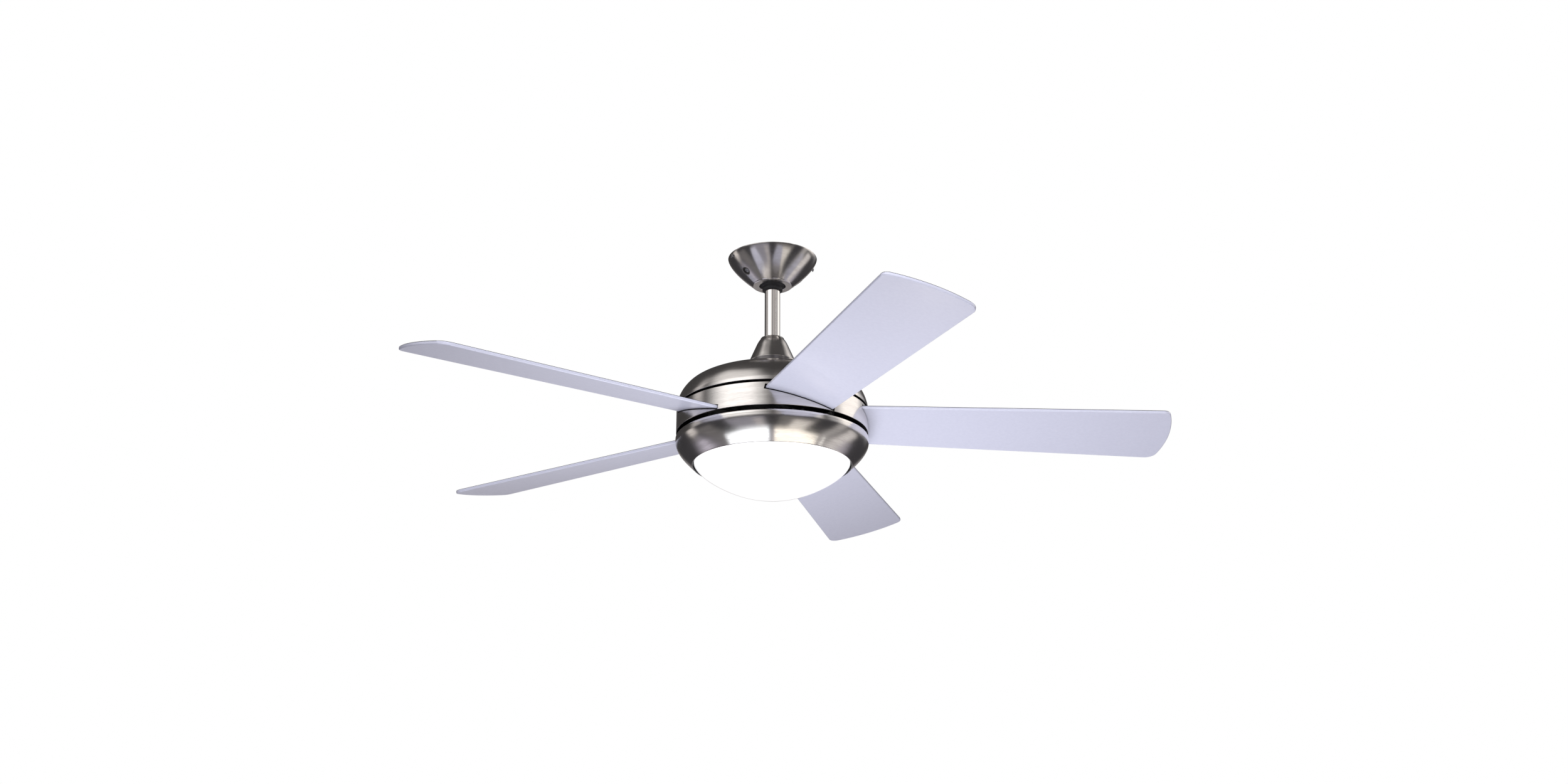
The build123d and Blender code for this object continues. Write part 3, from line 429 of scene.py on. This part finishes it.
def blade_outline():
    """Tongue inside the band, straight sides, gently bowed tip with two corner sizes."""
    tongue, step = 50 * MM, 126 * MM
    near, far = blade_chord(step) / 2, blade_chord(SWEEP - TIP_BOW) / 2
    end = sqrt(SWEEP ** 2 - far ** 2) - TIP_BOW
    rise = SWEEP - TIP_SHORT - end
    bow = (far ** 2 + rise ** 2) / (2 * rise)
    hub = SWEEP - TIP_SHORT - bow
    upper = tip_corner(near, far, end, bow, TIP_CORNERS[0])
    lower = [Vector((p.x, -p.y)) for p in tip_corner(near, far, end, bow, TIP_CORNERS[1])]
    a0, a1 = asin(lower[-1].y / bow), asin(upper[-1].y / bow)
    turns = [a0 + (a1 - a0) * k / 24 for k in range(1, 24)]
    tip = [Vector((hub + bow * cos(a), bow * sin(a))) for a in turns]
    root = [Vector((BLADE_ROOT, -tongue)), Vector((step - 14 * MM, -tongue)),
            Vector((step + 4 * MM, -near))]
    line = root + lower + tip + upper[::-1] + [Vector((p.x, -p.y)) for p in root[::-1]]
    return [Vector((p.x, p.y + BLADE_OFFSET)) for p in line]


def make_blade(n):
    line = blade_outline()
    inward = []
    for before, here, after in zip(line[-1:] + line[:-1], line, line[1:] + line[:1]):
        one, two = (here - before).normalized(), (after - here).normalized()
        one, two = Vector((-one.y, one.x)), Vector((-two.y, two.x))
        inward.append((one + two) / (1 + one.dot(two)))
    half = BLADE_THICK / 2
    bend = [radians(15 * k) for k in range(7)]
    levels = [(BLADE_EDGE * (1 - sin(t)), -half + BLADE_EDGE * (1 - cos(t))) for t in bend]
    levels += [(inset, -z) for inset, z in levels[::-1]]
    bm = bmesh.new()
    loops = [[bm.verts.new((*(p + q * inset), z)) for p, q in zip(line, inward)] for inset, z in levels]
    for one, two in zip(loops, loops[1:]):
        for k in range(len(line)):
            m = (k + 1) % len(line)
            bm.faces.new((one[k], one[m], two[m], two[k]))
    bm.faces.new(loops[0][::-1])
    bm.faces.new(loops[-1])
    return moved(finished(f"blade_board_{n + 1}", bm), blade_place(n))


# ---------------------------------------------------------------- material graphs
def add(tree, kind, **settings):
    made = tree.nodes.new(kind)
    for key, value in settings.items():
        setattr(made, key, value)
    return made


def feed(tree, socket, value):
    if isinstance(value, bpy.types.NodeSocket):
        tree.links.new(value, socket)
    else:
        socket.default_value = value


def maths(tree, operation, *values):
    made = add(tree, "ShaderNodeMath", operation=operation)
    for socket, value in zip(made.inputs, values):
        feed(tree, socket, value)
    return made.outputs[0]


def ramp(tree, value, low_in, high_in, low_out, high_out, smooth_step=False):
    made = add(tree, "ShaderNodeMapRange")
    made.interpolation_type = "SMOOTHSTEP" if smooth_step else "LINEAR"
    for socket, number in zip(made.inputs, (value, low_in, high_in, low_out, high_out)):
        feed(tree, socket, number)
    return made.outputs[0]


def blend_colour(tree, share, one, two):
    made = add(tree, "ShaderNodeMix", data_type="RGBA")
    feed(tree, made.inputs[0], share)
    feed(tree, made.inputs[6], one)
    feed(tree, made.inputs[7], two)
    return made.outputs[2]


def noise(tree, vector, scale, detail=2.0):
    made = add(tree, "ShaderNodeTexNoise")
    feed(tree, made.inputs["Vector"], vector)
    feed(tree, made.inputs["Scale"], scale)
    feed(tree, made.inputs["Detail"], detail)
    return made.outputs["Fac"]


def place_of(tree):
    return add(tree, "ShaderNodeTexCoord").outputs["Object"]


def away_from_axis(tree, x, y):
    squares = maths(tree, "MULTIPLY", x, x), maths(tree, "MULTIPLY", y, y)
    return maths(tree, "SQRT", maths(tree, "ADD", *squares))


def stretched(tree, grain):
    """Coordinates that run slowly along the brushing and fast across it."""
    split = add(tree, "ShaderNodeSeparateXYZ")
    feed(tree, split.inputs[0], place_of(tree))
    x, y, z = split.outputs
    join = add(tree, "ShaderNodeCombineXYZ")
    if grain == "spun":
        away = away_from_axis(tree, x, y)
        slow = maths(tree, "MULTIPLY", maths(tree, "DIVIDE", x, away), 0.012)
        parts = (away, z, slow)
    elif grain == "drawn":
        parts = (x, y, maths(tree, "MULTIPLY", z, 0.03))
    else:
        parts = (x, y, z)
    for socket, part in zip(join.inputs, parts):
        feed(tree, socket, part)
    return join.outputs[0]


def shader_of(material, **constants):
    material.use_nodes = True
    shader = material.node_tree.nodes["Principled BSDF"]
    for key, value in constants.items():
        shader.inputs[key.replace("_", " ")].default_value = value
    return material.node_tree, shader


def metal(name, light, dark, rough, grain="even", scale=1400.0, relief=0.004, **constants):
    """Brushed, drawn or cast metal with fine grain in colour, roughness and relief."""
    made = bpy.data.materials.new(name)
    tree, shader = shader_of(made, Metallic=1.0, **constants)
    where = stretched(tree, grain)
    fine, broad = noise(tree, where, scale, 3.0), noise(tree, where, scale / 9)
    share = maths(tree, "ADD", maths(tree, "MULTIPLY", fine, 0.55), maths(tree, "MULTIPLY", broad, 0.45))
    tone = ramp(tree, share, 0.3, 0.7, 0.0, 1.0)
    feed(tree, shader.inputs["Base Color"], blend_colour(tree, tone, dark, light))
    feed(tree, shader.inputs["Roughness"], ramp(tree, share, 0.3, 0.7, rough + 0.04, rough - 0.04))
    bump = add(tree, "ShaderNodeBump")
    feed(tree, bump.inputs["Height"], fine)
    feed(tree, bump.inputs["Strength"], relief)
    feed(tree, bump.inputs["Distance"], 0.1 * MM)
    feed(tree, shader.inputs["Normal"], bump.outputs[0])
    if grain == "spun":
        around = add(tree, "ShaderNodeTangent", direction_type="RADIAL", axis="Z")
        feed(tree, shader.inputs["Tangent"], around.outputs[0])
    return made


def moulded(name, light, dark, rough, scale=900.0, relief=0.15, **constants):
    """Plastic, rubber, enamel, porcelain or lacquer: slight mottle and surface texture."""
    made = bpy.data.materials.new(name)
    tree, shader = shader_of(made, **constants)
    where = place_of(tree)
    fine, broad = noise(tree, where, scale, 3.0), noise(tree, where, scale / 14)
    share = maths(tree, "ADD", maths(tree, "MULTIPLY", fine, 0.4), maths(tree, "MULTIPLY", broad, 0.6))
    tone = ramp(tree, share, 0.3, 0.7, 0.0, 1.0)
    feed(tree, shader.inputs["Base Color"], blend_colour(tree, tone, dark, light))
    feed(tree, shader.inputs["Roughness"], ramp(tree, share, 0.3, 0.7, rough + 0.05, rough - 0.05))
    bump = add(tree, "ShaderNodeBump")
    feed(tree, bump.inputs["Height"], fine)
    feed(tree, bump.inputs["Strength"], relief)
    feed(tree, bump.inputs["Distance"], 0.1 * MM)
    feed(tree, shader.inputs["Normal"], bump.outputs[0])
    return made


def painted_shade_within(material, r):
    """Paint shade: turn a material black nearer to the fan's axis than r, inside the turning band, so the
    slot gaps show dark.
    """
    tree = material.node_tree
    shader = tree.nodes["Principled BSDF"]
    seen = shader.inputs["Base Color"].links[0].from_socket
    split = add(tree, "ShaderNodeSeparateXYZ")
    feed(tree, split.inputs[0], place_of(tree))
    share = ramp(tree, away_from_axis(tree, *split.outputs[:2]), r - 1.0 * MM, r, 0.0, 1.0)
    feed(tree, shader.inputs["Base Color"], blend_colour(tree, share, rgb(0.012, 0.012, 0.014), seen))


def layered(name, light, dark, rough, pitch, **constants):
    """Stacked sheets or wound wire: fine lines one pitch apart up the Z axis."""
    made = bpy.data.materials.new(name)
    tree, shader = shader_of(made, Metallic=1.0, **constants)
    where = place_of(tree)
    split = add(tree, "ShaderNodeSeparateXYZ")
    feed(tree, split.inputs[0], where)
    line = maths(tree, "PINGPONG", split.outputs[2], pitch / 2)
    line = ramp(tree, line, 0.0, pitch / 2, 0.0, 1.0)
    share = maths(tree, "MULTIPLY", line, ramp(tree, noise(tree, where, 500.0), 0.2, 0.8, 0.6, 1.0))
    feed(tree, shader.inputs["Base Color"], blend_colour(tree, share, dark, light))
    feed(tree, shader.inputs["Roughness"], ramp(tree, share, 0.0, 1.0, rough + 0.12, rough))
    bump = add(tree, "ShaderNodeBump")
    feed(tree, bump.inputs["Height"], line)
    feed(tree, bump.inputs["Strength"], 0.3)
    feed(tree, bump.inputs["Distance"], pitch / 2)
    feed(tree, shader.inputs["Normal"], bump.outputs[0])
    return made


def painted_glow(name, light, dark, strength, **constants):
    """Opal glass with painted light, an emission that makes it glow white, a little cooler and weaker towards
    its rim as painted shade.
    """
    made = bpy.data.materials.new(name)
    tree, shader = shader_of(made, Roughness=0.16, **constants)
    where = place_of(tree)
    split = add(tree, "ShaderNodeSeparateXYZ")
    feed(tree, split.inputs[0], where)
    height = ramp(tree, split.outputs[2], low("glass_shade"), high("glass_shade"), 0.0, 0.8)
    cloud = ramp(tree, noise(tree, where, 60.0), 0.3, 0.7, 0.0, 0.2)
    share = maths(tree, "ADD", height, cloud)
    colour = blend_colour(tree, share, light, dark)
    feed(tree, shader.inputs["Base Color"], colour)
    feed(tree, shader.inputs["Emission Color"], colour)
    shader.inputs["Emission Strength"].default_value = strength
    bump = add(tree, "ShaderNodeBump")
    feed(tree, bump.inputs["Height"], noise(tree, where, 90.0))
    feed(tree, bump.inputs["Strength"], 0.05)
    feed(tree, bump.inputs["Distance"], 0.2 * MM)
    feed(tree, shader.inputs["Normal"], bump.outputs[0])
    return made


def rgb(r, g, b):
    return (r, g, b, 1.0)


FINISHES = {
    "brushed_nickel": metal("brushed_nickel", rgb(0.84, 0.82, 0.80), rgb(0.70, 0.675, 0.655), 0.2, "spun",
                            Anisotropic=0.7, Anisotropic_Rotation=0.25),
    "polished_steel": metal("polished_steel", rgb(0.86, 0.84, 0.82), rgb(0.76, 0.74, 0.72), 0.14, "drawn"),
    "silver_lacquer": moulded("silver_lacquer", rgb(0.65, 0.66, 0.79), rgb(0.61, 0.62, 0.75), 0.33, 2600.0,
                              0.03, Metallic=0.1, Coat_Weight=0.25, Coat_Roughness=0.12),
    "zinc_steel": metal("zinc_steel", rgb(0.62, 0.63, 0.64), rgb(0.42, 0.43, 0.45), 0.34, "even", 320.0, 0.1),
    "black_nylon": moulded("black_nylon", rgb(0.022, 0.022, 0.024), rgb(0.012, 0.012, 0.013), 0.5),
    "seat_rubber": moulded("seat_rubber", rgb(0.03, 0.03, 0.03), rgb(0.015, 0.015, 0.015), 0.8, 500.0, 0.3),
    "cast_yoke": metal("cast_yoke", rgb(0.40, 0.39, 0.38), rgb(0.26, 0.25, 0.25), 0.55, "even", 700.0, 0.35),
    "cast_aluminium": metal("cast_aluminium", rgb(0.70, 0.70, 0.71), rgb(0.52, 0.52, 0.53), 0.48, "even",
                            800.0, 0.3),
    "lamination_steel": layered("lamination_steel", rgb(0.46, 0.47, 0.50), rgb(0.20, 0.20, 0.22), 0.4,
                                0.5 * MM),
    "copper_wire": layered("copper_wire", rgb(0.80, 0.36, 0.17), rgb(0.38, 0.13, 0.05), 0.3, 0.6 * MM),
    "bearing_steel": metal("bearing_steel", rgb(0.80, 0.80, 0.80), rgb(0.66, 0.66, 0.67), 0.16, "spun"),
    "white_enamel": moulded("white_enamel", rgb(0.84, 0.84, 0.83), rgb(0.78, 0.78, 0.77), 0.3, 600.0, 0.08,
                            Coat_Weight=0.4),
    "porcelain": moulded("porcelain", rgb(0.86, 0.84, 0.80), rgb(0.80, 0.78, 0.74), 0.2, 300.0, 0.05,
                         Coat_Weight=0.6),
    "bulb_glass": moulded("bulb_glass", rgb(0.92, 0.92, 0.90), rgb(0.88, 0.88, 0.86), 0.12, 200.0, 0.03,
                          Coat_Weight=0.3),
    "cap_metal": metal("cap_metal", rgb(0.74, 0.72, 0.68), rgb(0.56, 0.54, 0.50), 0.3, "even", 900.0, 0.1),
    # The glass's glow is painted light; the bulbs behind it give none.
    "opal_glass": painted_glow("opal_glass", rgb(1.0, 0.995, 0.985), rgb(0.97, 0.975, 0.985), 1.03,
                          Coat_Weight=1.0, Specular_IOR_Level=0.6),
    "ivory_plastic": moulded("ivory_plastic", rgb(0.80, 0.76, 0.66), rgb(0.74, 0.70, 0.60), 0.4),
    "brass_screw": metal("brass_screw", rgb(0.82, 0.62, 0.30), rgb(0.62, 0.44, 0.18), 0.28, "even",
                         900.0, 0.1),
    "dark_plastic": moulded("dark_plastic", rgb(0.04, 0.04, 0.045), rgb(0.02, 0.02, 0.024), 0.45),
    "wire_insulation": moulded("wire_insulation", rgb(0.05, 0.05, 0.055), rgb(0.03, 0.03, 0.034), 0.5),
}


# The blades' tongues inside the band get painted shade, black where the slot gaps show them.
painted_shade_within(FINISHES["silver_lacquer"], radius("rotor_band") - 1.0 * MM)


# ---------------------------------------------------------------- dress the frame
def dressed(piece, finish):
    piece.data.materials.clear()
    piece.data.materials.append(FINISHES[finish])


def paint_shade_on_faces(piece, in_shade):
    """Paint shade: blacken the faces for which the test, given a normal's outward and up parts, is true."""
    piece.data.materials.append(FINISHES["dark_plastic"])
    for face in piece.data.polygons:
        outward = face.normal.xy.dot(face.center.xy.normalized())
        if in_shade(outward, face.normal.z):
            face.material_index = 1


def stands_for(piece, body, node):
    """A detailed piece takes the place of one CAD node and its finish."""
    finish = FINISH_OF[node]
    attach(piece, body)
    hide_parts(node)
    dressed(piece, finish)
    return piece


FINISH_OF = {part["node"]: part["material_slot"] for part in frame["record"]["subparts"]}
stands_for(make_canopy(), "ceiling_mount", "canopy")
cups = make_cups()
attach(cups, "ceiling_mount")
# The cups take the dark cast finish as painted shade in the recesses.
dressed(cups, "cast_yoke")
stands_for(make_rod(), "hanging", "downrod")
stands_for(make_cover(), "hanging", "coupling_cover")
# Inner faces, which show only through the gaps, are black: painted shade on bare metal.
dome = stands_for(make_dome(), "hanging", "upper_housing")
paint_shade_on_faces(dome, lambda outward, up: outward < -0.02 or up < -0.3)
band = stands_for(make_band(), "rotor", "rotor_band")
paint_shade_on_faces(band, lambda outward, up: outward < 0.3)
ring = stands_for(make_light_ring(), "hanging", "light_housing")
paint_shade_on_faces(ring, lambda outward, up: up > 0.9 or outward < -0.1)
stands_for(make_glass(), "glass", "glass_shade")
for number in range(BLADE_COUNT):
    # A dark line of painted shade runs round each board's upper arris, where the rounding turns up away from
    # the light.
    blade = stands_for(make_blade(number), "rotor", f"blade_{number + 1}")
    paint_shade_on_faces(blade, lambda outward, up: 0.3 < up < 0.93)
for node, solid in frame["nodes"].items():
    for place in solid.material_slots:
        place.material = FINISHES[FINISH_OF[node]]


# ---------------------------------------------------------------- studio
def make_floor():
    """Pale round floor, well under the fan, that can be seen through from below."""
    bm = bmesh.new()
    bmesh.ops.create_circle(bm, cap_ends=True, segments=128, radius=FLOOR_RADIUS,
                            matrix=Matrix.Translation((0, 0, low("glass_shade") - FLOOR_DROP)))
    floor = finished("floor", bm)
    if floor.data.polygons[0].normal.z < 0:
        floor.data.flip_normals()
    pale = moulded("floor_pale", rgb(0.88, 0.88, 0.88), rgb(0.86, 0.86, 0.86), 0.8, 40.0, 0.02)
    tree = pale.node_tree
    clear_below = add(tree, "ShaderNodeMixShader")
    feed(tree, clear_below.inputs[0], add(tree, "ShaderNodeNewGeometry").outputs["Backfacing"])
    feed(tree, clear_below.inputs[1], tree.nodes["Principled BSDF"].outputs[0])
    feed(tree, clear_below.inputs[2], add(tree, "ShaderNodeBsdfTransparent").outputs[0])
    feed(tree, tree.nodes["Material Output"].inputs["Surface"], clear_below.outputs[0])
    floor.data.materials.append(pale)
    floor.visible_glossy = False


def make_world():
    """Soft studio: white to the eye, with light panels that the metal reflects."""
    world = bpy.data.worlds.new("studio")
    bpy.context.scene.world = world
    world.use_nodes = True
    tree = world.node_tree
    split = add(tree, "ShaderNodeSeparateXYZ")
    feed(tree, split.inputs[0], add(tree, "ShaderNodeTexCoord").outputs["Generated"])
    x, y, z = split.outputs
    to_degrees = 180 / pi
    side = maths(tree, "MULTIPLY", maths(tree, "ARCTAN2", x, maths(tree, "MULTIPLY", y, -1.0)), to_degrees)
    rise = maths(tree, "MULTIPLY", maths(tree, "ARCSINE", z), to_degrees)

    def within(value, start, end, soft):
        up = ramp(tree, value, start - soft, start + soft, 0.0, 1.0, True)
        down = ramp(tree, value, end - soft, end + soft, 1.0, 0.0, True)
        return maths(tree, "MULTIPLY", up, down)

    def panel(base, colour, side_span, rise_span, soft_side, soft_rise):
        across, upright = within(side, *side_span, soft_side), within(rise, *rise_span, soft_rise)
        return blend_colour(tree, maths(tree, "MULTIPLY", across, upright), base, colour)

    height = ramp(tree, rise, -74.0, -58.0, 0.0, 1.0)
    light = blend_colour(tree, height, rgb(0.32, 0.305, 0.35), rgb(0.045, 0.043, 0.047))
    # Colour, bearing from and to, height from and to, softness sideways and upwards, in degrees.
    # A bearing runs from the front to the right; each panel covers those before it.
    for colour, side_span, rise_span, soft_side, soft_rise in (
        (rgb(0.055, 0.052, 0.052), (-181, 181), (2, 95), 1, 4),
        (rgb(0.60, 0.57, 0.56), (-108, -92), (8, 40), 6, 8),
        (rgb(1.55, 1.51, 1.49), (-72, -13), (7, 42), 20, 12),
        (rgb(0.50, 0.47, 0.46), (4, 40), (7, 42), 3, 12),
        (rgb(1.30, 1.25, 1.22), (50, 60), (7, 42), 6, 12),
        (rgb(0.50, 0.49, 0.50), (70, 146), (6, 44), 8, 12),
        (rgb(1.35, 1.28, 1.22), (88, 128), (6, 44), 8, 12),
        (rgb(0.85, 0.82, 0.80), (-90, -24), (36, 60), 14, 5),
        (rgb(0.055, 0.052, 0.058), (-100, 84), (-10, 8), 6, 5),
        (rgb(0.28, 0.27, 0.31), (-58, -10), (-88, -10), 4, 5),
        (rgb(0.46, 0.43, 0.43), (-24, -12), (-88, -26), 4, 8),
        (rgb(0.17, 0.16, 0.155), (9, 58), (-88, -10), 4, 5),
        (rgb(0.80, 0.75, 0.70), (28, 54), (-88, -32), 4, 6),
        (rgb(0.17, 0.16, 0.16), (-104, -80), (-88, -16), 5, 6),
        (rgb(0.80, 0.75, 0.72), (-118, -104), (-22, 2), 4, 5),
        (rgb(0.42, 0.40, 0.39), (84, 98), (-88, 0), 5, 6),
        (rgb(0.75, 0.71, 0.69), (104, 122), (-88, -10), 5, 5),
        (rgb(0.66, 0.62, 0.72), (-166, -112), (-88, -31), 6, 8),
        (rgb(0.60, 0.56, 0.64), (124, 166), (-88, -29), 8, 8),
        (rgb(0.34, 0.32, 0.32), (166, 181), (-40, 20), 6, 10),
        (rgb(0.34, 0.32, 0.32), (-181, -166), (-40, 20), 6, 10),
    ):
        light = panel(light, colour, side_span, rise_span, soft_side, soft_rise)
    studio = tree.nodes["Background"]
    feed(tree, studio.inputs["Color"], light)
    seen = add(tree, "ShaderNodeBackground")
    seen.inputs["Color"].default_value = rgb(1.0, 1.0, 1.0)
    pick = add(tree, "ShaderNodeMixShader")
    feed(tree, pick.inputs[0], add(tree, "ShaderNodeLightPath").outputs["Is Camera Ray"])
    feed(tree, pick.inputs[1], studio.outputs[0])
    feed(tree, pick.inputs[2], seen.outputs[0])
    feed(tree, tree.nodes["World Output"].inputs["Surface"], pick.outputs[0])


def make_soft_light(name, place, tip, size, energy):
    """Round light for the matt surfaces, tipped about X; the metal doesn't reflect it."""
    source = bpy.data.lights.new(name, "AREA")
    source.shape, source.size, source.energy = "DISK", size, energy
    source.color = (0.96, 0.97, 1.0)
    lamp = bpy.data.objects.new(name, source)
    lamp.location = place
    lamp.rotation_euler = (radians(tip), 0.0, 0.0)
    lamp.visible_camera, lamp.visible_glossy = False, False
    bpy.context.scene.collection.objects.link(lamp)


def make_card(name, colour, strength, reach, start, end):
    """Glowing card under the light ring, a piece of a flat ring, seen only in reflections."""
    level = low("light_housing") - CARD_DROP
    steps = max(2, int(end - start))
    turns = [radians(start + (end - start) * k / steps) for k in range(steps + 1)]
    line = [(r * sin(a), -r * cos(a), level) for r, run in zip(reach, (turns, turns[::-1])) for a in run]
    bm = bmesh.new()
    bm.faces.new([bm.verts.new(p) for p in line])
    card = finished(name, bm)
    made = bpy.data.materials.new(name)
    made.use_nodes = True
    glow = add(made.node_tree, "ShaderNodeEmission")
    glow.inputs["Color"].default_value = colour
    glow.inputs["Strength"].default_value = strength
    surface = made.node_tree.nodes["Material Output"].inputs["Surface"]
    feed(made.node_tree, surface, glow.outputs[0])
    card.data.materials.append(made)
    card.visible_camera, card.visible_shadow, card.visible_diffuse = False, False, False


def make_camera():
    """Eye a little under the fan, three metres in front of it, looking up."""
    lens = bpy.data.cameras.new("camera")
    lens.lens, lens.sensor_width = 44.32, 36.0
    eye = bpy.data.objects.new("camera", lens)
    eye.location = (0.0, -EYE_BACK, BLADE_PLANE - EYE_DROP)
    eye.rotation_euler = (pi / 2 + EYE_TILT, 0.0, EYE_TURN)
    bpy.context.scene.collection.objects.link(eye)
    bpy.context.scene.camera = eye


make_floor()
make_world()
make_soft_light("light_below", (0.06, -0.12, BLADE_PLANE - 0.85), 180.0, 0.9, 8.0)
make_soft_light("light_front", (0.0, -3.4, BLADE_PLANE + 0.5), 84.0, 3.0, 90.0)
make_soft_light("light_above", (0.0, -1.2, 1.8), 30.0, 3.0, 25.0)
make_card("card_left", rgb(0.93, 0.96, 1.0), 2.0, (0.165, 0.285), -64.0, -4.0)
make_card("card_right", rgb(1.0, 0.93, 0.83), 1.8, (0.165, 0.27), 3.0, 64.0)
make_card("card_small", rgb(1.0, 0.97, 0.93), 1.3, (0.20, 0.30), 70.0, 74.0)
make_camera()
bpy.context.scene.view_settings.view_transform = "Standard"
